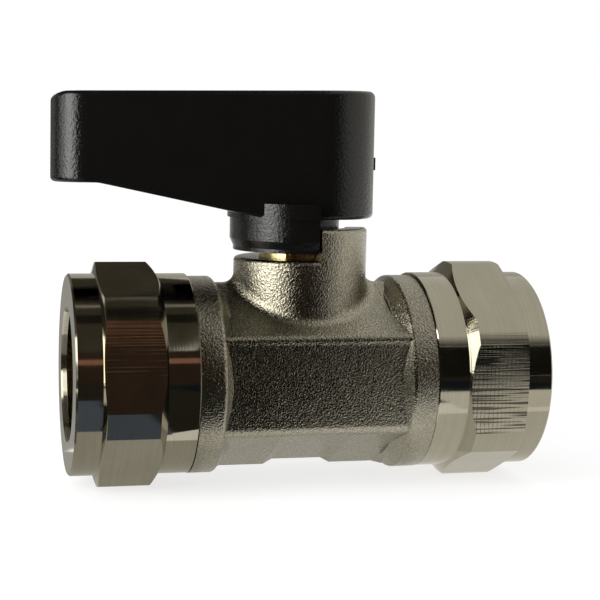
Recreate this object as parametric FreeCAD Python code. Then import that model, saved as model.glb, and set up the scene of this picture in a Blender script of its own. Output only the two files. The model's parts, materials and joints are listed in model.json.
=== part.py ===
import FreeCAD
import Part
import math
import os

# Isolating valve for 15 mm pipe: millimetres, +X along the pipe, +Z up the stem, origin at the ball's centre.

# Fits: radial gaps first, then gaps between faces
pipe_gap = 0.1
nut_pipe_gap = 0.25
turning_gap = 0.05
ball_gap = 0.25
seat_gap = 0.05
face_gap = 0.05
stop_gap = 0.4
skirt_gap = 0.2
lug_gap = 1.1

# Pipe and the two spigots, with threads drawn at their pitch diameter
pipe_r = 7.5
spigot_wall = 2.3
thread_length = 6.75
spigot_edge = 0.5
mouth_rise = 1.4
mouth_depth = 2.1
socket_r = pipe_r + pipe_gap
spigot_r = socket_r + spigot_wall
mouth_r = socket_r + mouth_rise

# Compression nuts
nut_wall = 1.75
flat_proud = 0.3
corner_proud = 1.35
nut_inner_hub = 3.6
nut_hex_length = 7.2
nut_outer_hub = 3.0
nut_inner_bevel = 0.95
nut_outer_bevel = 0.35
nut_edge = 0.2
nut_inner_edge = 0.1
nut_lip = 0.55
nut_turn = {"left": 12.5, "right": -3.0}
nut_bore_r = spigot_r + turning_gap
nut_hub_r = nut_bore_r + nut_wall
nut_hole_r = pipe_r + nut_pipe_gap
nut_half_flats = nut_hub_r + flat_proud
nut_corner_r = nut_hub_r + corner_proud

# Forged body
collar_step = 0.13
collar_end_x = 13.75
shoulder_outer_x = 10.95
shoulder_length = 1.1
shoulder_blend_r = 0.5
shoulder_root = 0.1
flat_drop = 1.42
forging_sink = 0.19
flat_half_height = 5.5
ridge_high_x = 11.1
ridge_mid_x = 9.4
relief_mid_x = 4.1
relief_low_x = 3.0
mid_drop = 0.46
relief_drop = 1.06
ridge_top_drop = 0.43
ridge_edge_r = 2.0
keel_edge_r = 0.8
flat_edge_r = 1.6
lip_rise = 0.9
lip_proud = 0.2
lip_foot_r = 1.0
lip_edge_r = 0.7
collar_r = nut_hub_r - collar_step
flat_depth = collar_r - flat_drop
shoulder_inner_x = shoulder_outer_x - shoulder_length
shoulder_low_r = flat_depth - shoulder_root
nut_inner_x = collar_end_x + face_gap
spigot_end_x = collar_end_x + thread_length

# Olives, seated between the spigot's mouth and the nut's cone
olive_wall = 0.95
olive_length = 6.35
olive_bevel = 1.0
olive_bevel_rise = 0.5
olive_r = socket_r + olive_wall
olive_edge_r = olive_r - olive_bevel_rise
olive_inner_x = spigot_end_x - mouth_depth + (olive_edge_r + face_gap - socket_r) * mouth_depth / mouth_rise
olive_outer_x = olive_inner_x + olive_length
nut_cone_end_x = olive_outer_x + olive_edge_r + face_gap - nut_hole_r
nut_cone_x = nut_cone_end_x - (nut_bore_r - nut_lip - nut_hole_r)
nut_hex_x = nut_inner_x + nut_inner_hub
nut_hex_end_x = nut_hex_x + nut_hex_length
nut_outer_x = nut_hex_end_x + nut_outer_hub

# Waterway, ball, seats and retainer
water_r = 4.75
chamber_step = 0.5
seat_back = 0.9
seat_width = 4.0
retainer_length = 4.25
key_slot_width = 1.6
key_slot_depth = 1.2
ball_slot_width = 3.0
ball_slot_roof = 0.65
chamber_r = socket_r - chamber_step
ball_r = chamber_r - ball_gap
seat_outer_x = ball_r + seat_back
seat_inner_x = seat_outer_x - seat_width
pipe_stop_x = seat_outer_x + retainer_length
ball_slot_z = water_r + ball_slot_roof

# Boss, stop lug and stem well
boss_r = 7.9
boss_top_z = 13.7
boss_edge_r = 0.55
boss_root_r = 1.4
lug_wall = 2.75
lug_height = 3.6
lug_face = 0.6
lug_edge_r = 0.45
well_r = 4.65
lug_top_z = boss_top_z + lug_height

# Stem, washer, O-rings and gland bush
stem_r = 3.25
stem_lift = 0.4
stem_collar = 1.2
tang_half_length = 3.4
washer_thickness = 0.45
ring_groove_low = 0.95
ring_groove_pitch = 2.1
ring_groove_height = 1.3
ring_section_r = 0.49
ring_squeeze = 0.01
drive_lift = 0.8
drive_length = 6.4
drive_half_flats = 2.3
gland_flange_r = 4.85
gland_flange = 0.65
gland_slot_width = 0.9
gland_slot_depth = 0.65
gland_slot_turn = 28.7
stem_low_z = ball_r + stem_lift
collar_high_z = stem_low_z + stem_collar
washer_low_z = collar_high_z + face_gap
gland_low_z = washer_low_z + washer_thickness + face_gap
gland_top_z = boss_top_z + gland_flange
ring_groove_z = (gland_low_z + ring_groove_low, gland_low_z + ring_groove_low + ring_groove_pitch)
groove_floor_r = stem_r + turning_gap - 2 * (ring_section_r + ring_squeeze)

# Lever, with a half skirt that runs against the lug
lever_tip_x = -29.6
lever_tip_r = 4.2
lever_hub_x = 8.6
lever_hub_r = 7.2
lever_hub_height = 14.9
lever_tip_height = 10.25
lever_top_fall = 0.7
slope_start_x = -24.5
slope_end_x = -5.2
tip_crown_r = 2.0
hub_crown_r = 1.8
foot_crown_r = 0.9
crown_overrun = 0.3
slope_r = 4.0
lever_edge_r = 0.55
lever_wall = 2.0
core_roof = 2.2
core_end_x = -9.4
rib_thickness = 1.4
rib_x = (-22.0, -15.5)
skirt_low_r = 8.0
skirt_mid_r = 8.4
skirt_high_r = 8.7
skirt_foot = 0.45
skirt_flare = 0.9
skirt_cap = 1.8
hub_core_r = 4.6
nub_rise = 6.4
nub_width = 1.3
nub_height = 1.5
nub_proud = 0.35
skirt_low_z = gland_top_z + skirt_gap
lever_low_z = lug_top_z + lug_gap
lever_top_z = lever_low_z + lever_hub_height
tip_top_z = lever_top_z - lever_top_fall
tip_low_z = tip_top_z - lever_tip_height
drive_low_z = skirt_low_z + drive_lift
drive_high_z = drive_low_z + drive_length
skirt_face = lug_face - stop_gap

# Lever screw in its well
screw_r = 1.45
screw_depth = 5.5
screw_tap_depth = 6.0
screw_web = 2.0
screw_head_r = 2.8
screw_head_height = 2.0
screw_head_edge_r = 0.8
screw_cross_length = 3.0
screw_cross_width = 0.7
screw_cross_depth = 1.2
screw_well_r = 3.6
screw_hole_gap = 0.15
screw_web_z = drive_high_z + screw_web

# Reach of the cutting bodies past what they cut, and how near an edge is to count as on a surface
over = 1.0
near = 0.01

os.makedirs("parts", exist_ok=True)


def vec(x, y, z):
    return FreeCAD.Vector(x, y, z)


origin = vec(0, 0, 0)
along_x = vec(1, 0, 0)
along_y = vec(0, 1, 0)
along_z = vec(0, 0, 1)


def polygon(points):
    return Part.Wire(Part.makePolygon(points + [points[0]]))


def turned_x(profile):
    wire = polygon([vec(x, 0, r) for x, r in profile])
    return Part.Face(wire).revolve(origin, along_x, 360)


def turned_z(profile):
    wire = polygon([vec(r, 0, z) for r, z in profile])
    return Part.Face(wire).revolve(origin, along_z, 360)


def rod_x(radius, x0, x1):
    return Part.makeCylinder(radius, x1 - x0, vec(x0, 0, 0), along_x)


def rod_z(radius, z0, z1):
    return Part.makeCylinder(radius, z1 - z0, vec(0, 0, z0), along_z)


def ring_z(outer_r, inner_r, z0, z1):
    return rod_z(outer_r, z0, z1).cut(rod_z(inner_r, z0, z1))


def block(x0, x1, y0, y1, z0, z1):
    return Part.makeBox(x1 - x0, y1 - y0, z1 - z0, vec(x0, y0, z0))


def mirrored_x(shape):
    return shape.mirror(origin, along_x)


def edge_mid(edge):
    return edge.valueAt((edge.FirstParameter + edge.LastParameter) / 2)


def edges_at_z(shape, z):
    return [edge for edge in shape.Edges if abs(edge_mid(edge).z - z) < near]


def save(name, shape):
    shape = shape.removeSplitter()
    solid = shape.Solids[0]
    solid.exportStep("parts/" + name + ".step")
    print(name, "valid" if solid.isValid() else "INVALID", len(shape.Solids), round(solid.Volume, 1))


def bend(before, point, after, radius):
    back = (before - point).normalize()
    ahead = (after - point).normalize()
    half = back.getAngle(ahead) / 2
    start = point + back * (radius / math.tan(half))
    end = point + ahead * (radius / math.tan(half))
    middle = point + (back + ahead).normalize() * (radius / math.sin(half) - radius)
    return start, Part.Arc(start, middle, end).toShape(), end


def rounded_outline(corners):
    points = [point for point, radius in corners]
    bends = []
    for i, (point, radius) in enumerate(corners):
        bends.append(bend(points[i - 1], point, points[(i + 1) % len(points)], radius))
    edges = []
    for i, (start, arc, end) in enumerate(bends):
        edges.append(arc)
        edges.append(Part.makeLine(end, bends[(i + 1) % len(bends)][0]))
    return Part.Wire(edges)


# Body: hex-like bar with a stepped keel, boss blended into it, collars, spigots and lug
bar_section = rounded_outline([
    (vec(-collar_end_x, -flat_depth, -flat_half_height), flat_edge_r),
    (vec(-collar_end_x, -flat_depth, flat_half_height - lip_rise), lip_foot_r),
    (vec(-collar_end_x, -flat_depth - lip_proud, flat_half_height), lip_edge_r),
    (vec(-collar_end_x, 0, collar_r - ridge_top_drop), ridge_edge_r),
    (vec(-collar_end_x, flat_depth + lip_proud, flat_half_height), lip_edge_r),
    (vec(-collar_end_x, flat_depth, flat_half_height - lip_rise), lip_foot_r),
    (vec(-collar_end_x, flat_depth, -flat_half_height), flat_edge_r),
    (vec(-collar_end_x, 0, -collar_r), keel_edge_r),
])
bar = Part.Face(bar_section).extrude(along_x * (2 * collar_end_x))
sunk = along_z * -forging_sink


def keel_section(x, drop):
    ridge = collar_r - drop
    rise = (ridge - flat_half_height) * collar_r / flat_depth
    return polygon([
        vec(x, 0, -ridge),
        vec(x, -collar_r, rise - ridge),
        vec(x, -collar_r, boss_top_z),
        vec(x, collar_r, boss_top_z),
        vec(x, collar_r, rise - ridge),
    ])


keel_steps = [
    (collar_end_x, 0),
    (ridge_high_x, 0),
    (ridge_mid_x, mid_drop),
    (relief_mid_x, mid_drop),
    (relief_low_x, relief_drop),
]
keel_run = [(-x, drop) for x, drop in keel_steps] + list(reversed(keel_steps))
keel = Part.makeLoft([keel_section(x, drop) for x, drop in keel_run], True, True)
forging = bar.common(keel).translated(sunk).fuse(rod_z(boss_r, 0, boss_top_z)).removeSplitter()


def on_boss_root(edge):
    mid = edge_mid(edge)
    return abs(math.hypot(mid.x, mid.y) - boss_r) < near and 0 < mid.z < boss_top_z - boss_root_r


forging = forging.makeFillet(boss_root_r, [edge for edge in forging.Edges if on_boss_root(edge)])
forging = forging.makeFillet(boss_edge_r, edges_at_z(forging, boss_top_z))

foot = vec(shoulder_inner_x, 0, shoulder_low_r)
crest = vec(shoulder_outer_x, 0, collar_r)
end_rim = vec(collar_end_x, 0, collar_r)
end_axis = along_x * collar_end_x
foot_start, foot_arc, foot_end = bend(foot - along_x, foot, crest, shoulder_blend_r)
crest_start, crest_arc, crest_end = bend(foot, crest, end_rim, shoulder_blend_r)
foot_axis = along_x * foot_start.x
collar_outline = Part.Wire([
    Part.makeLine(foot_axis, foot_start),
    foot_arc,
    Part.makeLine(foot_end, crest_start),
    crest_arc,
    Part.makeLine(crest_end, end_rim),
    Part.makeLine(end_rim, end_axis),
    Part.makeLine(end_axis, foot_axis),
])
collar = Part.Face(collar_outline).revolve(origin, along_x, 360).translated(sunk)
spigot = turned_x([
    (shoulder_inner_x, 0),
    (shoulder_inner_x, spigot_r - spigot_edge),
    (collar_end_x, spigot_r),
    (spigot_end_x - spigot_edge, spigot_r),
    (spigot_end_x, spigot_r - spigot_edge),
    (spigot_end_x, 0),
])
lug = ring_z(boss_r, boss_r - lug_wall, boss_top_z - boss_edge_r, lug_top_z)
lug = lug.common(block(lug_face, boss_r + over, -boss_r - over, -lug_face, 0, lug_top_z + over))
lug = lug.makeFillet(lug_edge_r, edges_at_z(lug, lug_top_z))
forging = forging.fuse([collar, mirrored_x(collar), spigot, mirrored_x(spigot), lug])

mouth_profile = [
    (spigot_end_x - mouth_depth, socket_r),
    (spigot_end_x, mouth_r),
    (spigot_end_x + over, mouth_r),
    (spigot_end_x + over, 0),
]
left_bore = turned_x([
    (seat_outer_x, 0),
    (seat_outer_x, water_r),
    (pipe_stop_x, water_r),
    (pipe_stop_x, socket_r),
] + mouth_profile)
right_bore = turned_x([
    (-seat_outer_x, 0),
    (-seat_outer_x, chamber_r),
    (pipe_stop_x, chamber_r),
    (pipe_stop_x, socket_r),
] + mouth_profile)
stem_well = rod_z(well_r, 0, lug_top_z + over)
save("valve_body", forging.cut([mirrored_x(left_bore), right_bore, stem_well]))

# Ball, seats and retainer
ball = Part.makeSphere(ball_r).cut(rod_x(water_r, -ball_r - over, ball_r + over))
ball_slot = block(-ball_slot_width / 2, ball_slot_width / 2, -ball_r, ball_r, ball_slot_z, ball_r + over)
save("ball", ball.cut(ball_slot))

seat_r = chamber_r - face_gap
seat = turned_x([
    (seat_inner_x, water_r),
    (seat_inner_x, seat_r),
    (seat_outer_x - face_gap, seat_r),
    (seat_outer_x - face_gap, water_r),
])
seat = seat.cut(Part.makeSphere(ball_r + seat_gap))
save("seat_right", seat)
save("seat_left", mirrored_x(seat))

retainer = turned_x([
    (seat_outer_x, water_r),
    (seat_outer_x, seat_r),
    (pipe_stop_x, seat_r),
    (pipe_stop_x, water_r),
])
key_slot = block(
    pipe_stop_x - key_slot_depth, pipe_stop_x + over,
    -key_slot_width / 2, key_slot_width / 2,
    -socket_r, socket_r,
)
save("seat_retainer", retainer.cut(key_slot))

# Stem with tang, collar, ring grooves and two drive flats, held down by the gland bush
stem = rod_z(well_r - turning_gap, stem_low_z, collar_high_z)
stem = stem.fuse(rod_z(stem_r, collar_high_z, drive_high_z))
stem = stem.fuse(block(
    turning_gap - ball_slot_width / 2, ball_slot_width / 2 - turning_gap,
    -tang_half_length, tang_half_length,
    ball_slot_z + face_gap, stem_low_z,
))
for groove_z in ring_groove_z:
    stem = stem.cut(ring_z(stem_r + over, groove_floor_r, groove_z, groove_z + ring_groove_height))
drive_blank = rod_z(stem_r + over, drive_low_z, drive_high_z + over)
drive_flats = block(
    -stem_r - over, stem_r + over,
    -drive_half_flats, drive_half_flats,
    0, drive_high_z + over,
)
stem = stem.cut(drive_blank.cut(drive_flats))
save("stem", stem.cut(rod_z(screw_r + turning_gap, drive_high_z - screw_tap_depth, drive_high_z + over)))

washer = ring_z(well_r - turning_gap, stem_r + turning_gap, washer_low_z, washer_low_z + washer_thickness)
save("stem_washer", washer)

for name, groove_z in zip(("stem_o_ring_lower", "stem_o_ring_upper"), ring_groove_z):
    ring_centre = vec(0, 0, groove_z + ring_groove_height / 2)
    ring_r = groove_floor_r + ring_squeeze + ring_section_r
    save(name, Part.makeTorus(ring_r, ring_section_r, ring_centre, along_z))

gland = rod_z(well_r - turning_gap, gland_low_z, boss_top_z)
gland = gland.fuse(rod_z(gland_flange_r, boss_top_z, gland_top_z))
gland = gland.cut(rod_z(stem_r + turning_gap, gland_low_z, gland_top_z))
gland_slot = block(
    -gland_slot_width / 2, gland_slot_width / 2,
    -gland_flange_r - over, gland_flange_r + over,
    gland_top_z - gland_slot_depth, gland_top_z + over,
)
gland_slot.rotate(origin, along_z, -gland_slot_turn)
save("gland_bush", gland.cut(gland_slot))

# Lever: side outline and plan outline crossed, cored and ribbed underneath, half skirt and hub below
tip_centre = vec(lever_tip_x + lever_tip_r, 0, 0)
hub_centre = vec(lever_hub_x - lever_hub_r, 0, 0)
lean = math.asin((lever_hub_r - lever_tip_r) / (hub_centre.x - tip_centre.x))


def lever_plan(inset):
    tip_r = lever_tip_r - inset
    hub_r = lever_hub_r - inset
    left = vec(-math.sin(lean), math.cos(lean), 0)
    right = vec(-math.sin(lean), -math.cos(lean), 0)
    hub_left = hub_centre + left * hub_r
    hub_right = hub_centre + right * hub_r
    tip_left = tip_centre + left * tip_r
    tip_right = tip_centre + right * tip_r
    outline = Part.Wire([
        Part.makeLine(tip_left, hub_left),
        Part.Arc(hub_left, hub_centre + along_x * hub_r, hub_right).toShape(),
        Part.makeLine(hub_right, tip_right),
        Part.Arc(tip_right, tip_centre - along_x * tip_r, tip_left).toShape(),
    ])
    return Part.Face(outline).extrude(along_z * (lever_top_z + over))


def lever_side(roof, opening):
    reach = lever_hub_r + over
    tip_x = lever_tip_x - crown_overrun
    hub_x = lever_hub_x + crown_overrun
    wire = rounded_outline([
        (vec(tip_x, -reach, tip_top_z - roof), tip_crown_r),
        (vec(hub_x, -reach, lever_top_z - roof), hub_crown_r),
        (vec(hub_x, -reach, lever_low_z - opening), foot_crown_r),
        (vec(slope_end_x, -reach, lever_low_z - opening), slope_r),
        (vec(slope_start_x, -reach, tip_low_z - opening), slope_r),
        (vec(tip_x, -reach, tip_low_z - opening), foot_crown_r),
    ])
    return Part.Face(wire).extrude(along_y * (2 * reach))


grip = lever_plan(0).common(lever_side(0, 0))
grip = grip.makeFillet(lever_edge_r, grip.Edges)
core = lever_plan(lever_wall).common(lever_side(core_roof, over))
core = core.common(block(lever_tip_x, core_end_x, -lever_hub_r, lever_hub_r, 0, lever_top_z))
for x in rib_x:
    core = core.cut(block(x, x + rib_thickness, -lever_hub_r, lever_hub_r, 0, lever_top_z))

skirt = turned_z([
    (0, skirt_low_z),
    (skirt_low_r, skirt_low_z),
    (skirt_low_r, skirt_low_z + skirt_foot),
    (skirt_mid_r, skirt_low_z + skirt_foot + skirt_flare),
    (skirt_mid_r, lever_low_z),
    (skirt_high_r, lever_low_z),
    (skirt_high_r, lever_low_z + skirt_cap),
    (0, lever_low_z + skirt_cap),
])
skirt = skirt.common(block(-2 * boss_r, skirt_face, -2 * boss_r, 2 * boss_r, 0, lever_top_z))
hub_core = rod_z(hub_core_r, skirt_low_z, lever_low_z + skirt_cap)
drive_socket = rod_z(stem_r + turning_gap, drive_low_z, drive_high_z + face_gap)
drive_socket = drive_socket.common(block(
    -stem_r - over, stem_r + over,
    -drive_half_flats - turning_gap, drive_half_flats + turning_gap,
    0, lever_top_z,
))
lever = grip.cut(core).fuse([skirt, hub_core]).cut([
    drive_socket,
    rod_z(stem_r + turning_gap, skirt_low_z - over, drive_low_z),
    rod_z(screw_r + screw_hole_gap, drive_high_z, screw_web_z + over),
    rod_z(screw_well_r, screw_web_z, lever_top_z + over),
])
nub = block(
    lever_hub_x - lever_edge_r, lever_hub_x + nub_proud,
    -nub_width / 2, nub_width / 2,
    lever_low_z + nub_rise - nub_height / 2, lever_low_z + nub_rise + nub_height / 2,
)
save("lever_handle", lever.fuse(nub))

head_low_z = screw_web_z + face_gap
head_high_z = head_low_z + screw_head_height
head = rod_z(screw_head_r, head_low_z, head_high_z)
head = head.makeFillet(screw_head_edge_r, edges_at_z(head, head_high_z))
half_length = screw_cross_length / 2
half_width = screw_cross_width / 2
cross_low_z = head_high_z - screw_cross_depth
cross = block(-half_length, half_length, -half_width, half_width, cross_low_z, head_high_z + over)
cross = cross.fuse(block(-half_width, half_width, -half_length, half_length, cross_low_z, head_high_z + over))
shank = rod_z(screw_r, drive_high_z - screw_depth, head_low_z)
save("lever_screw", shank.fuse(head).cut(cross))

# Compression nuts turned from hexagon bar, and olives
nut_blank = turned_x([
    (nut_inner_x, 0),
    (nut_inner_x, nut_hub_r - nut_inner_edge),
    (nut_inner_x + nut_inner_edge, nut_hub_r),
    (nut_hex_x, nut_hub_r),
    (nut_hex_x + nut_inner_bevel, nut_corner_r),
    (nut_hex_end_x - nut_outer_bevel, nut_corner_r),
    (nut_hex_end_x, nut_hub_r),
    (nut_outer_x - nut_edge, nut_hub_r),
    (nut_outer_x, nut_hub_r - nut_edge),
    (nut_outer_x, 0),
])
nut_bore = turned_x([
    (nut_inner_x - over, 0),
    (nut_inner_x - over, nut_bore_r),
    (nut_cone_x, nut_bore_r),
    (nut_cone_x, nut_bore_r - nut_lip),
    (nut_cone_end_x, nut_hole_r),
    (nut_outer_x - nut_edge, nut_hole_r),
    (nut_outer_x, nut_hole_r + nut_edge),
    (nut_outer_x + over, nut_hole_r + nut_edge),
    (nut_outer_x + over, 0),
])
hex_corner_r = nut_half_flats / math.cos(math.pi / 6)
olive = turned_x([
    (olive_inner_x, socket_r),
    (olive_inner_x, olive_edge_r),
    (olive_inner_x + olive_bevel, olive_r),
    (olive_outer_x - olive_bevel, olive_r),
    (olive_outer_x, olive_edge_r),
    (olive_outer_x, socket_r),
])
for side in ("right", "left"):
    corners = []
    for step in range(6):
        turn = math.radians(nut_turn[side] + 30 + 60 * step)
        corners.append(vec(nut_inner_x, -hex_corner_r * math.cos(turn), hex_corner_r * math.sin(turn)))
    bar_stock = Part.Face(polygon(corners)).extrude(along_x * (nut_outer_x - nut_inner_x))
    nut = nut_blank.common(bar_stock).cut(nut_bore)
    save("nut_" + side, mirrored_x(nut) if side == "left" else nut)
    save("olive_" + side, mirrored_x(olive) if side == "left" else olive)
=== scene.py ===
import json
import math
import bmesh
import bpy
from mathutils import Matrix, Vector


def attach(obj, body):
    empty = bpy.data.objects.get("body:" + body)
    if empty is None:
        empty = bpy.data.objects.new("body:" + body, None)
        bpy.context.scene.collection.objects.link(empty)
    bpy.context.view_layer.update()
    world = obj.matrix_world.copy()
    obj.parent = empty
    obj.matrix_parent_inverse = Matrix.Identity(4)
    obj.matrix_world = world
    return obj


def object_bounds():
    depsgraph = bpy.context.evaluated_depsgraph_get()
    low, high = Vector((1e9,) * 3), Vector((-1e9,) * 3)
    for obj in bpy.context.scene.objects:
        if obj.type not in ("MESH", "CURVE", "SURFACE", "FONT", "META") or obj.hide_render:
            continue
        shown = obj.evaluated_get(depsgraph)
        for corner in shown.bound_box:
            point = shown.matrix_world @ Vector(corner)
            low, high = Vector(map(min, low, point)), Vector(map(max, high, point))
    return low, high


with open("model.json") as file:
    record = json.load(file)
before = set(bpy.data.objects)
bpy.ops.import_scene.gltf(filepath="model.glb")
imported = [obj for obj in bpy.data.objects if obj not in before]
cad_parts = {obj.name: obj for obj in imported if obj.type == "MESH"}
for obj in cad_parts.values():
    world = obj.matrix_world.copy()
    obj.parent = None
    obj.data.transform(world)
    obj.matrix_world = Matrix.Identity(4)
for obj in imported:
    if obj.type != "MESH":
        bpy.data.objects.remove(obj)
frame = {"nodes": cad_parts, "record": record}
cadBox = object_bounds()
nodes = frame["nodes"]
scene = bpy.context.scene
mm = 0.001
print("frame loaded:", len(nodes), "nodes")


# node helpers

def bareMaterial(name):
    mat = bpy.data.materials.new(name)
    mat.use_nodes = True
    tree = mat.node_tree
    tree.nodes.clear()
    return mat, tree, tree.nodes.new("ShaderNodeOutputMaterial")


def newMaterial(name):
    mat, tree, out = bareMaterial(name)
    shader = tree.nodes.new("ShaderNodeBsdfPrincipled")
    tree.links.new(shader.outputs["BSDF"], out.inputs["Surface"])
    return mat, tree, shader


def addNode(tree, kind, **values):
    node = tree.nodes.new(kind)
    for key, value in values.items():
        setattr(node, key, value)
    return node


def setInputs(node, **values):
    for key, value in values.items():
        node.inputs[key.replace("_", " ")].default_value = value
    return node


def mathNode(tree, operation, a, b=None, c=None):
    node = addNode(tree, "ShaderNodeMath", operation=operation)
    for slot, value in zip(node.inputs, (a, b, c)):
        if value is None:
            continue
        if isinstance(value, (int, float)):
            slot.default_value = value
        else:
            tree.links.new(value, slot)
    return node.outputs[0]


def vectorNode(tree, operation, vector, fixed):
    node = addNode(tree, "ShaderNodeVectorMath", operation=operation)
    tree.links.new(vector, node.inputs[0])
    node.inputs[1].default_value = fixed
    return node.outputs["Value"]


def splitNode(tree, vector):
    node = addNode(tree, "ShaderNodeSeparateXYZ")
    tree.links.new(vector, node.inputs[0])
    return node.outputs


def rangeNode(tree, value, fromMin, fromMax, toMin=0.0, toMax=1.0):
    node = addNode(tree, "ShaderNodeMapRange")
    tree.links.new(value, node.inputs["Value"])
    setInputs(node, From_Min=fromMin, From_Max=fromMax, To_Min=toMin, To_Max=toMax)
    return node.outputs["Result"]


def mixColour(tree, factor, a, b):
    node = addNode(tree, "ShaderNodeMix", data_type="RGBA")
    tree.links.new(factor, node.inputs["Factor"])
    for slot, value in zip((node.inputs[6], node.inputs[7]), (a, b)):  # a mix node's colour sockets
        if isinstance(value, tuple):
            slot.default_value = (*value, 1.0)
        else:
            tree.links.new(value, slot)
    return node.outputs[2]


def newGroup(name, inputs, outputs):
    tree = bpy.data.node_groups.new(name, "ShaderNodeTree")
    for label, value in inputs:
        socket = tree.interface.new_socket(label, in_out="INPUT", socket_type="NodeSocketFloat")
        socket.default_value = value
    for label in outputs:
        tree.interface.new_socket(label, in_out="OUTPUT", socket_type="NodeSocketFloat")
    return tree, tree.nodes.new("NodeGroupInput"), tree.nodes.new("NodeGroupOutput")


def useGroup(tree, group, **values):
    node = addNode(tree, "ShaderNodeGroup", node_tree=group)
    return setInputs(node, **values)


def bumpNode(tree, height, strength, distance):
    bump = setInputs(addNode(tree, "ShaderNodeBump"), Strength=strength, Distance=distance)
    tree.links.new(height, bump.inputs["Height"])
    return bump.outputs["Normal"]


def bumpInto(tree, shader, height, strength, distance):
    tree.links.new(bumpNode(tree, height, strength, distance), shader.inputs["Normal"])


def meshObject(name, bm, mat):
    mesh = bpy.data.meshes.new(name)
    bm.to_mesh(mesh)
    bm.free()
    mesh.materials.append(mat)
    piece = bpy.data.objects.new(name, mesh)
    scene.collection.objects.link(piece)
    return piece


# shared effects

grainSpan = (0.35, 0.65)  # where most of a fine noise's values lie
cloudSpan = (0.3, 0.7)
toneSpan = (0.12, 0.36)  # the same for cloud times lines
turnedAlong = 40.0  # noise scale along a turned line
arcRadius = 12 * mm  # turns angles into lengths, at about the nuts' flats


def makeGrainGroup():
    tree, gin, gout = newGroup(
        "grainField",
        [("Fine", 2500.0), ("Broad", 300.0)],
        ["Grain", "Pits", "Cloud"],
    )
    place = addNode(tree, "ShaderNodeTexCoord").outputs["Object"]
    fine = setInputs(addNode(tree, "ShaderNodeTexNoise"), Detail=3.0, Roughness=0.6)
    pits = addNode(tree, "ShaderNodeTexVoronoi", feature="SMOOTH_F1")
    cloud = setInputs(addNode(tree, "ShaderNodeTexNoise"), Detail=4.0, Roughness=0.55)
    for node, socket in ((fine, "Fine"), (pits, "Fine"), (cloud, "Broad")):
        tree.links.new(place, node.inputs["Vector"])
        tree.links.new(gin.outputs[socket], node.inputs["Scale"])
    tree.links.new(fine.outputs[0], gout.inputs["Grain"])
    tree.links.new(pits.outputs["Distance"], gout.inputs["Pits"])
    tree.links.new(cloud.outputs[0], gout.inputs["Cloud"])
    return tree


def makeTurningGroup():
    tree, gin, gout = newGroup(
        "turningMarks",
        [("Density", 4000.0), ("Along", 60.0)],
        ["Lines", "Streaks", "Radius"],
    )
    x, y, z = splitNode(tree, addNode(tree, "ShaderNodeTexCoord").outputs["Object"])
    radius = mathNode(tree, "SQRT", mathNode(tree, "MULTIPLY_ADD", y, y, mathNode(tree, "MULTIPLY", z, z)))
    around = mathNode(tree, "ARCTAN2", z, mathNode(tree, "MULTIPLY", y, -1.0))
    arc = mathNode(tree, "MULTIPLY", around, arcRadius)
    for label, dense, slow in (("Lines", x, arc), ("Streaks", arc, x)):
        join = addNode(tree, "ShaderNodeCombineXYZ")
        tree.links.new(mathNode(tree, "MULTIPLY", dense, gin.outputs["Density"]), join.inputs["X"])
        tree.links.new(mathNode(tree, "MULTIPLY", slow, gin.outputs["Along"]), join.inputs["Y"])
        lines = setInputs(addNode(tree, "ShaderNodeTexNoise"), Scale=1.0, Detail=2.0)
        tree.links.new(join.outputs[0], lines.inputs["Vector"])
        tree.links.new(lines.outputs[0], gout.inputs[label])
    tree.links.new(radius, gout.inputs["Radius"])
    return tree


grainField = makeGrainGroup()
turningMarks = makeTurningGroup()


def turnedTone(tree, grain, lines, spec):
    tone = mathNode(tree, "MULTIPLY", grain.outputs["Cloud"], lines)
    return mixColour(tree, rangeNode(tree, tone, *toneSpan), spec["dull"], spec["light"])


def patchyRough(tree, grain, spec):
    return rangeNode(tree, grain.outputs["Cloud"], *cloudSpan, *spec["roughness"])


# finishes

platedBody = {
    "light": (0.46, 0.43, 0.34), "dull": (0.30, 0.28, 0.218), "roughness": (0.16, 0.24),
    "grain": 5000.0, "patch": 260.0, "pits": 0.8, "bump": 1.0, "depth": 0.064 * mm,
}


def makeBlasted(name, spec):
    mat, tree, shader = newMaterial(name)
    grain = useGroup(tree, grainField, Fine=spec["grain"], Broad=spec["patch"])
    speck = rangeNode(tree, grain.outputs["Grain"], *grainSpan)
    tree.links.new(mixColour(tree, speck, spec["dull"], spec["light"]), shader.inputs["Base Color"])
    tree.links.new(patchyRough(tree, grain, spec), shader.inputs["Roughness"])
    height = mathNode(tree, "MULTIPLY_ADD", grain.outputs["Pits"], spec["pits"], grain.outputs["Grain"])
    bumpInto(tree, shader, height, spec["bump"], spec["depth"])
    shader.inputs["Metallic"].default_value = 1.0
    return mat


plainBrass = {
    "light": (0.66, 0.54, 0.27), "dull": (0.42, 0.33, 0.14), "roughness": (0.16, 0.30),
    "lines": 4200.0, "patch": 300.0, "bump": 0.2, "depth": 0.02 * mm,
}
ballChrome = {
    "light": (0.86, 0.87, 0.88), "dull": (0.78, 0.79, 0.80), "roughness": (0.05, 0.12),
    "lines": 6000.0, "patch": 200.0, "bump": 0.05, "depth": 0.01 * mm,
}
screwSteel = {
    "light": (0.66, 0.67, 0.68), "dull": (0.48, 0.48, 0.47), "roughness": (0.22, 0.38),
    "lines": 3000.0, "patch": 500.0, "bump": 0.15, "depth": 0.02 * mm,
}


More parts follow.
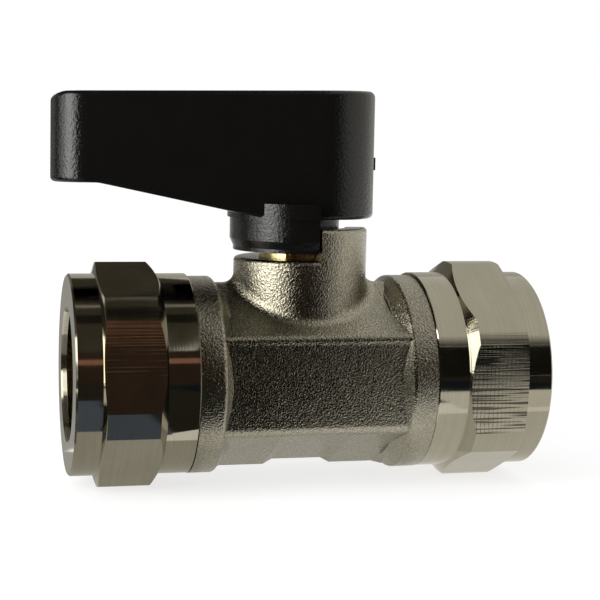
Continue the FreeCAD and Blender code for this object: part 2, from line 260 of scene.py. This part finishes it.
def makeTurned(name, spec):
    mat, tree, shader = newMaterial(name)
    grain = useGroup(tree, grainField, Fine=spec["lines"], Broad=spec["patch"])
    lines = useGroup(tree, turningMarks, Density=spec["lines"], Along=turnedAlong).outputs["Lines"]
    tree.links.new(turnedTone(tree, grain, lines, spec), shader.inputs["Base Color"])
    tree.links.new(patchyRough(tree, grain, spec), shader.inputs["Roughness"])
    bumpInto(tree, shader, lines, spec["bump"], spec["depth"])
    shader.inputs["Metallic"].default_value = 1.0
    return mat


platedNut = {
    "light": (0.44, 0.41, 0.325), "dull": (0.39, 0.36, 0.28), "roughness": (0.06, 0.13),
    "lines": 5200.0, "patch": 240.0, "bump": 0.10, "depth": 0.02 * mm,
    "flatRadius": (11.85 * mm, 11.90 * mm), "drawn": 4200.0, "drawnAlong": 45.0, "drawnBump": 0.45,
    "scuffPlace": (20.6 * mm, -12.0 * mm, -1.0 * mm), "scuffReach": (5.4 * mm, 6.6 * mm),
    "scuffFacing": (0.0, -0.9986, -0.0523), "scuffDepth": (11.93 * mm, 11.95 * mm),
    "scuffLines": 3700.0, "scuffAlong": 90.0, "scuffBump": 0.55, "scuffRough": 0.14,
    "cutSpan": (0.51, 0.58), "groove": (0.035, 0.03, 0.025), "grooveMix": 0.8,
    "jawPitch": 0.50 * mm, "jawWander": 9.0, "jawReach": (17.5 * mm, 24.0 * mm), "jawBite": (1.0, 0.1),
    "toothSpan": (0.45, 0.95), "brokenSpan": (0.38, 0.50), "brokenBite": (0.3, 1.0),
    "crown": 7.5, "crownPlace": 2.0 * mm,
    "bevelFrom": (0.90, 0.94), "bevelTo": (0.98, 0.99), "bevelTilt": 0.28,
    "wallLean": (0.1, 0.2), "mouthRadius": (8.0 * mm, 8.1 * mm), "mouthStart": 26.9 * mm, "mouthTilt": 3.2,
}


def scuffMask(tree, place, spec):
    gap = vectorNode(tree, "DISTANCE", place, spec["scuffPlace"])
    facing = vectorNode(tree, "DOT_PRODUCT", place, spec["scuffFacing"])
    rubbed = rangeNode(tree, gap, *spec["scuffReach"], 1.0, 0.0)
    return mathNode(tree, "MULTIPLY", rubbed, rangeNode(tree, facing, *spec["scuffDepth"]))


def jawGrooves(tree, x, grain, spec):
    marks = useGroup(tree, turningMarks, Density=spec["scuffLines"], Along=spec["scuffAlong"])
    scratched = marks.outputs["Streaks"]
    cut = rangeNode(tree, scratched, *spec["cutSpan"])
    wander = mathNode(tree, "MULTIPLY", grain.outputs["Cloud"], spec["jawWander"])
    phase = mathNode(tree, "MULTIPLY_ADD", x, 2 * math.pi / spec["jawPitch"], wander)
    teeth = rangeNode(tree, mathNode(tree, "SINE", phase), *spec["toothSpan"])
    bite = rangeNode(tree, x, *spec["jawReach"], *spec["jawBite"])
    broken = rangeNode(tree, scratched, *spec["brokenSpan"], *spec["brokenBite"])
    cross = mathNode(tree, "MULTIPLY", mathNode(tree, "MULTIPLY", teeth, bite), broken)
    return mathNode(tree, "MAXIMUM", cut, cross)


def edgeRelief(tree, x, radius, spec):  # shades the outer bevel steeper and the pipe hole's mouth flared
    facet = splitNode(tree, addNode(tree, "ShaderNodeNewGeometry").outputs["True Normal"])
    lean = mathNode(tree, "ABSOLUTE", facet["X"])
    notEnd = rangeNode(tree, lean, *spec["bevelTo"], 1.0, 0.0)
    onBevel = mathNode(tree, "MULTIPLY", rangeNode(tree, lean, *spec["bevelFrom"]), notEnd)
    tilt = mathNode(tree, "MULTIPLY", radius, -spec["bevelTilt"] / spec["depth"])
    onWall = rangeNode(tree, lean, *spec["wallLean"], 1.0, 0.0)
    inMouth = mathNode(tree, "MULTIPLY", onWall, rangeNode(tree, radius, *spec["mouthRadius"], 1.0, 0.0))
    outward = mathNode(tree, "SUBTRACT", mathNode(tree, "ABSOLUTE", x), spec["mouthStart"])
    slope = -spec["mouthTilt"] / spec["depth"]
    flare = mathNode(tree, "MULTIPLY", mathNode(tree, "MAXIMUM", outward, 0.0), slope)
    return mathNode(tree, "MULTIPLY_ADD", tilt, onBevel, mathNode(tree, "MULTIPLY", flare, inMouth))


def makeNutFinish(name, spec):
    mat, tree, shader = newMaterial(name)
    grain = useGroup(tree, grainField, Fine=spec["lines"], Broad=spec["patch"])
    turned = useGroup(tree, turningMarks, Density=spec["lines"], Along=turnedAlong)
    drawn = useGroup(tree, turningMarks, Density=spec["drawn"], Along=spec["drawnAlong"])
    lines, radius = turned.outputs["Lines"], turned.outputs["Radius"]
    place = addNode(tree, "ShaderNodeTexCoord").outputs["Object"]
    split = splitNode(tree, place)
    scuffed = scuffMask(tree, place, spec)
    groove = mathNode(tree, "MULTIPLY", jawGrooves(tree, split["X"], grain, spec), scuffed)
    # the base colour is made darker in the jaw grooves
    grooveDarkening = mathNode(tree, "MULTIPLY", groove, spec["grooveMix"])
    groovedColour = mixColour(tree, grooveDarkening, turnedTone(tree, grain, lines, spec), spec["groove"])
    tree.links.new(groovedColour, shader.inputs["Base Color"])
    rough = mathNode(tree, "MULTIPLY_ADD", scuffed, spec["scuffRough"], patchyRough(tree, grain, spec))
    tree.links.new(rough, shader.inputs["Roughness"])
    fine = mathNode(tree, "MULTIPLY", lines, spec["bump"])
    streaks = mathNode(tree, "MULTIPLY", drawn.outputs["Streaks"], spec["drawnBump"])
    along = mathNode(tree, "MULTIPLY", streaks, rangeNode(tree, radius, *spec["flatRadius"]))
    marked = mathNode(tree, "MULTIPLY_ADD", groove, -spec["scuffBump"], mathNode(tree, "ADD", fine, along))
    worked = mathNode(tree, "ADD", marked, edgeRelief(tree, split["X"], radius, spec))
    across = mathNode(tree, "SUBTRACT", split["Z"], spec["crownPlace"])
    square = mathNode(tree, "MULTIPLY", across, across)
    crown = mathNode(tree, "MULTIPLY", square, -spec["crown"] / spec["depth"])
    pressed = mathNode(tree, "ADD", worked, crown)  # jaws leave the flat crowned
    normal = addNode(tree, "ShaderNodeMix", data_type="VECTOR")
    tree.links.new(scuffed, normal.inputs["Factor"])
    for slot, height in ((4, worked), (5, pressed)):  # a mix node's vector sockets
        tree.links.new(bumpNode(tree, height, 1.0, spec["depth"]), normal.inputs[slot])
    tree.links.new(normal.outputs[1], shader.inputs["Normal"])
    shader.inputs["Metallic"].default_value = 1.0
    return mat


leverPlastic = {
    "light": (0.0046, 0.0046, 0.0042), "dull": (0.0034, 0.0034, 0.0032), "roughness": (0.11, 0.18),
    "grain": 3000.0, "patch": 220.0, "bump": 1.0, "depth": 0.06 * mm, "gloss": 0.45,
}
seatPtfe = {
    "light": (0.86, 0.86, 0.83), "dull": (0.76, 0.76, 0.73), "roughness": (0.38, 0.52),
    "grain": 3000.0, "patch": 300.0, "bump": 0.1, "depth": 0.02 * mm, "gloss": 0.5,
}
ringRubber = {
    "light": (0.028, 0.028, 0.028), "dull": (0.014, 0.014, 0.014), "roughness": (0.48, 0.66),
    "grain": 3200.0, "patch": 400.0, "bump": 0.2, "depth": 0.03 * mm, "gloss": 0.5,
}


def makeMoulded(name, spec):
    mat, tree, shader = newMaterial(name)
    grain = useGroup(tree, grainField, Fine=spec["grain"], Broad=spec["patch"])
    colour = mixColour(tree, grain.outputs["Cloud"], spec["dull"], spec["light"])
    tree.links.new(colour, shader.inputs["Base Color"])
    tree.links.new(patchyRough(tree, grain, spec), shader.inputs["Roughness"])
    bumpInto(tree, shader, grain.outputs["Grain"], spec["bump"], spec["depth"])
    shader.inputs["Specular IOR Level"].default_value = spec["gloss"]
    return mat


finishes = {
    "plated_body": makeBlasted("blastedNickel", platedBody),
    "plated_nut": makeNutFinish("turnedNickel", platedNut),
    "plain_brass": makeTurned("turnedBrass", plainBrass),
    "ball_chrome": makeTurned("polishedChrome", ballChrome),
    "screw_steel": makeTurned("zincSteel", screwSteel),
    "ptfe": makeMoulded("whiteSeat", seatPtfe),
    "ring_rubber": makeMoulded("blackRubber", ringRubber),
    "lever_plastic": makeMoulded("blackLever", leverPlastic),
}
for part in frame["record"]["subparts"]:
    mesh = nodes[part["node"]].data
    mesh.materials.clear()
    mesh.materials.append(finishes[part["material_slot"]])


# spigot threads, seen when a nut is unscrewed

spigotThread = {
    "pitch": 1.814 * mm, "root": 9.8 * mm, "crest": 10.42 * mm, "flank": 0.66 * mm, "land": 0.14 * mm,
    "start": 14.1 * mm, "turns": 3.4, "steps": 64, "fade": 24, "weld": 0.001 * mm,
}


def makeThread(name, spec, outward):
    bm = bmesh.new()
    outline = [
        (-spec["flank"], spec["root"]), (-spec["land"], spec["crest"]),
        (spec["land"], spec["crest"]), (spec["flank"], spec["root"]),
    ]
    verts = [bm.verts.new((spec["start"] + x, 0.0, r)) for x, r in outline]
    ring = [bm.edges.new((verts[i], verts[i - 1])) for i in range(len(verts))]
    steps = int(spec["steps"] * spec["turns"])
    bmesh.ops.spin(
        bm, geom=verts + ring, cent=(0, 0, 0), axis=(1, 0, 0),
        dvec=(spec["pitch"] / spec["steps"], 0, 0), angle=2 * math.pi * spec["turns"], steps=steps,
    )
    first = spec["start"]
    last = first + spec["pitch"] * spec["turns"]
    runOut = spec["pitch"] * spec["fade"] / spec["steps"]
    for v in bm.verts:  # the ridge runs out at both ends
        radius = math.hypot(v.co.y, v.co.z)
        turn = math.atan2(-v.co.y, v.co.z) / (2 * math.pi)
        near = round((v.co.x - first) / spec["pitch"] - turn) + turn
        along = first + near * spec["pitch"]
        rise = min(1.0, max(0.0, min(along - first, last - along) / runOut))
        wanted = spec["root"] + (radius - spec["root"]) * rise
        v.co.y *= wanted / radius
        v.co.z *= wanted / radius
    bmesh.ops.holes_fill(bm, edges=[e for e in bm.edges if e.is_boundary], sides=len(outline))
    bmesh.ops.remove_doubles(bm, verts=bm.verts, dist=spec["weld"])
    bmesh.ops.recalc_face_normals(bm, faces=bm.faces)
    if outward < 0:
        bmesh.ops.rotate(bm, verts=bm.verts, cent=(0, 0, 0), matrix=Matrix.Rotation(math.pi, 3, "Z"))
    thread = meshObject(name, bm, finishes["plated_body"])
    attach(thread, "body")


makeThread("threadLeft", spigotThread, -1)
makeThread("threadRight", spigotThread, 1)
print("threads made")


# studio

studio = {
    "floorGap": 0.05 * mm, "floorSize": 4.0, "floorTone": 0.86, "floorGlow": 0.70, "floorShade": 0.46,
    "worldDiffuse": 0.68, "keyPlace": (-0.181, -0.0845, 0.072), "keyTurn": -65.0,
    "keySize": (0.104, 0.17), "keyPower": 0.36,
    "cardLift": 0.3 * mm, "cardLayers": (0.1 * mm, 0.2 * mm, 0.4 * mm),  # cards on the floor that overlap
}
low = cadBox[0]
scene.view_settings.view_transform = "Standard"


def rayMask(tree):
    path = addNode(tree, "ShaderNodeLightPath")
    seen = mathNode(tree, "MAXIMUM", path.outputs["Is Camera Ray"], path.outputs["Is Glossy Ray"])
    return mathNode(tree, "MAXIMUM", seen, path.outputs["Is Transmission Ray"])


def makeWorld(spec):
    world = bpy.data.worlds.new("whiteRoom")
    scene.world = world
    world.use_nodes = True
    tree = world.node_tree
    back = tree.nodes["Background"]
    back.inputs["Color"].default_value = (1, 1, 1, 1)
    strength = rangeNode(tree, rayMask(tree), 0.0, 1.0, spec["worldDiffuse"], 1.0)
    tree.links.new(strength, back.inputs["Strength"])


def makeFloor(spec):
    bm = bmesh.new()
    bmesh.ops.create_grid(bm, x_segments=1, y_segments=1, size=spec["floorSize"] / 2)
    bmesh.ops.translate(bm, verts=bm.verts, vec=(0, 0, low.z - spec["floorGap"]))
    mat, tree, out = bareMaterial("paleFloor")
    matte = tree.nodes.new("ShaderNodeBsdfDiffuse")
    matte.inputs["Color"].default_value = (*[spec["floorTone"]] * 3, 1)
    shade = tree.nodes.new("ShaderNodeBsdfDiffuse")
    shade.inputs["Color"].default_value = (*[spec["floorShade"]] * 3, 1)
    glow = tree.nodes.new("ShaderNodeEmission")
    glow.inputs["Strength"].default_value = spec["floorGlow"]
    seen = tree.nodes.new("ShaderNodeAddShader")
    tree.links.new(shade.outputs[0], seen.inputs[0])
    tree.links.new(glow.outputs[0], seen.inputs[1])
    mix = tree.nodes.new("ShaderNodeMixShader")
    tree.links.new(rayMask(tree), mix.inputs["Fac"])
    tree.links.new(matte.outputs[0], mix.inputs[1])
    tree.links.new(seen.outputs[0], mix.inputs[2])
    tree.links.new(mix.outputs[0], out.inputs["Surface"])
    floor = meshObject("floor", bm, mat)


def makeCard(name, centre, right, up, tone, topTone=None):
    bm = bmesh.new()
    right, up = Vector(right), Vector(up)
    corners = [Vector(centre) + right * a + up * b for a, b in ((-1, -1), (1, -1), (1, 1), (-1, 1))]
    bm.faces.new([bm.verts.new(c) for c in corners])
    mat, tree, out = bareMaterial(name)
    glow = tree.nodes.new("ShaderNodeEmission")
    glow.inputs["Color"].default_value = (*tone, 1)
    if topTone:
        split = splitNode(tree, addNode(tree, "ShaderNodeTexCoord").outputs["Generated"])
        tree.links.new(mixColour(tree, split["Z"], tone, topTone), glow.inputs["Color"])
    tree.links.new(glow.outputs[0], out.inputs["Surface"])
    mat.cycles.emission_sampling = "NONE"  # cards show only in reflections, and hide one another there
    card = meshObject(name, bm, mat)
    card.visible_camera = False
    card.visible_diffuse = False
    card.visible_shadow = False


def makeKey(spec):
    lamp = bpy.data.lights.new("key", "AREA")
    lamp.shape = "RECTANGLE"
    lamp.size, lamp.size_y = spec["keySize"]
    lamp.energy = spec["keyPower"]
    key = bpy.data.objects.new("key", lamp)
    key.matrix_world = (
        Matrix.Translation(spec["keyPlace"])
        @ Matrix.Rotation(math.radians(spec["keyTurn"]), 4, "Z")
        @ Matrix.Rotation(math.radians(90), 4, "X")
    )
    key.visible_camera = False
    key.visible_glossy = False  # softLeft stands in for it in reflections
    scene.collection.objects.link(key)


makeWorld(studio)
makeFloor(studio)
makeKey(studio)
floorTop = low.z + studio["cardLift"]
lowLayer, midLayer, topLayer = (floorTop + rise for rise in studio["cardLayers"])
cards = {  # name: centre, half width, half height, tone and, where it fades, the tone of its upper edge
    "flagFloor": (
        (-0.0716, -0.2073, floorTop), (0.28, -0.107, 0), (0.0716, 0.187, 0), (0.026, 0.0235, 0.0195),
    ),
    "flagNear": (
        (-0.0202, -0.0218, midLayer), (0.0036, -0.00138, 0), (0.0012, 0.0092, 0), (0.085, 0.105, 0.145),
    ),
    "flagBody": ((0.026, -0.088, lowLayer), (0.030, 0, 0), (0, 0.060, 0), (0.010, 0.014, 0.019)),
    "flagHub": ((-0.0248, -0.0288, topLayer), (0.0022, 0, 0), (-0.0012, 0.0132, 0), (0.10, 0.125, 0.17)),
    "liftHub": ((-0.0258, -0.0126, topLayer), (0.0026, 0, 0), (0, 0.0030, 0), (0.45, 0.44, 0.40)),
    "flagFront": ((-0.19, -0.40, 0.124), (0.29, 0, 0), (0, 0, 0.138), (0.036, 0.024, 0.018)),
    "flagFrontRight": ((0.25, -0.40, 0.124), (0.15, 0, 0), (0, 0, 0.138), (0.012, 0.011, 0.009)),
    "stripFront": ((0.0, -0.399, 0.160), (0.08, 0, 0), (0, 0, 0.022), (0.36, 0.18, 0.13)),
    "fadeFront": ((0.26, -0.30, 0.249), (0.15, 0, 0), (0, 0, 0.05), (0.02, 0.019, 0.016), (0.66, 0.65, 0.61)),
    "liftRight": ((0.040, -0.034, midLayer), (0.018, 0, 0), (0, 0.0115, 0), (0.84, 0.83, 0.79)),
    # painted shade: three darker floor cards under the part stand for the floor in its shadow, seen only in
    # reflections
    "paintedShadeLeft": ((-0.036, 0.012, floorTop), (0.024, 0, 0), (0, 0.024, 0), (0.45, 0.44, 0.40)),
    "paintedShadeMiddle": ((0.001, 0.012, floorTop), (0.013, 0, 0), (0, 0.024, 0), (0.58, 0.57, 0.53)),
    "paintedShadeRight": ((0.034, 0.008, floorTop), (0.020, 0, 0), (0, 0.028, 0), (0.74, 0.73, 0.69)),
    "lineDark": ((0.01, -0.100, 0.2985), (0.07, 0, 0), (0, 0.032, 0), (0.015, 0.014, 0.012)),
    "lineLeft": ((0.015, -0.003, 0.299), (0.055, 0, 0), (0, 0.009, 0), (0.32, 0.31, 0.28)),
    "flagLeft": ((-0.29, 0.12, floorTop), (0.22, 0, 0), (0, 0.26, 0), (0.10, 0.10, 0.09)),
    "flagRear": ((-0.045, 0.15, floorTop), (0.025, 0, 0), (0, 0.15, 0), (0.34, 0.335, 0.305)),
    "wallLeft": ((-0.52, 0.0, 0.14), (0, 0.45, 0), (0, 0, 0.15), (0.12, 0.115, 0.10)),
    "softLeft": (studio["keyPlace"], (0.022, -0.0471, 0), (0, 0, 0.085), (6.5, 6.5, 6.3)),
    "flagShoulder": ((-0.0105, -0.0207, 0.0013), (0, 0.0074, 0), (0, 0, 0.0148), (0.02, 0.02, 0.018)),
    "sideLeft": ((-0.264, 0.004, 0.043), (0, 0.030, 0), (0, 0, 0.056), (3.0, 3.0, 2.9)),
    "liftLeft": ((-0.082, -0.040, topLayer), (0.030, 0, 0), (0, 0.022, 0), (1.6, 1.6, 1.55)),
    "glowRear": ((-0.105, 0.105, midLayer), (0.068, -0.095, 0), (0.008, 0.0057, 0), (1.0, 0.99, 0.95)),
    "ceilingLeft": ((-0.265, 0.0, 0.30), (0.335, 0, 0), (0, 0.60, 0), (0.055, 0.05, 0.037)),
    "ceilingRight": ((0.335, 0.0, 0.30), (0.265, 0, 0), (0, 0.60, 0), (0.72, 0.71, 0.67)),
    "wallRight": ((0.45, 0.05, 0.14), (0, 0.42, 0), (0, 0, 0.15), (0.76, 0.73, 0.66)),
    "wallBackLeft": ((-0.24, 0.48, 0.14), (0.22, 0, 0), (0, 0, 0.15), (0.18, 0.175, 0.155)),
    "wallBackRight": ((0.215, 0.48, 0.14), (0.235, 0, 0), (0, 0, 0.15), (0.50, 0.49, 0.45)),
}
for name, card in cards.items():
    makeCard(name, *card)


# camera

photoView = {
    "place": (-41.96 * mm, -162.80 * mm, 27.09 * mm), "azimuth": -11.79, "elevation": 4.67, "roll": 0.88,
    "focal": 1413.4, "imageWidth": 600, "sensor": 36.0, "shift": (0.11, -0.07), "clip": (0.005, 10.0),
}


def makeCamera(spec):
    data = bpy.data.cameras.new("photoCamera")
    data.sensor_width = spec["sensor"]
    data.lens = spec["sensor"] * spec["focal"] / spec["imageWidth"]
    data.shift_x, data.shift_y = spec["shift"]
    data.clip_start, data.clip_end = spec["clip"]
    a, e, roll = (math.radians(spec[k]) for k in ("azimuth", "elevation", "roll"))
    back = Vector((math.sin(a) * math.cos(e), -math.cos(a) * math.cos(e), math.sin(e)))
    turn = (-back).to_track_quat("-Z", "Y").to_matrix() @ Matrix.Rotation(roll, 3, "Z")
    cam = bpy.data.objects.new("photoCamera", data)
    cam.matrix_world = Matrix.Translation(spec["place"]) @ turn.to_4x4()
    scene.collection.objects.link(cam)
    scene.camera = cam


makeCamera(photoView)
print("studio and camera set")
